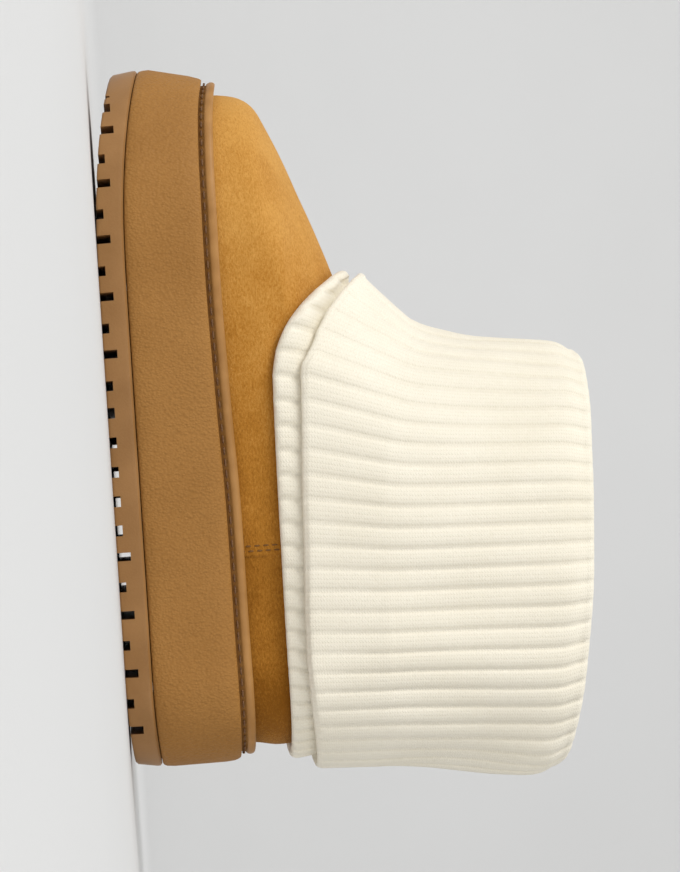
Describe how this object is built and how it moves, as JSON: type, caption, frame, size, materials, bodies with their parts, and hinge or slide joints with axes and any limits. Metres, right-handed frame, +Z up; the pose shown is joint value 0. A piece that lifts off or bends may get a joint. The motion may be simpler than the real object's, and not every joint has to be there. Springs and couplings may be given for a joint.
{
  "type": "sock boot",
  "caption": "Left ankle boot with a moulded platform sole, a low suede upper and a ribbed knit shaft turned down into a cuff.",
  "frame": {"origin": "on the floor, at the bottom centre of the boot's bounding box", "axes": "+X to the toe, +Y to the wearer's left, which is the outer side of this left boot, +Z up"},
  "size_m": [0.2752, 0.1022, 0.1825],
  "materials": {
    "sole_rubber": "satin moulded rubber",
    "platform_grain": "foam with a pebbled leather grain",
    "welt_trim": "smooth satin trim with dark stitches",
    "tan_suede": "napped suede",
    "footbed_lining": "brushed lining",
    "cream_knit": "wide rib knit"
  },
  "bodies": {
    "root": {"outsole": "sole_rubber", "platform": "platform_grain", "welt": "welt_trim", "upper": "tan_suede", "insole": "footbed_lining", "knit_shaft": "cream_knit"}
  },
  "joints": []
}
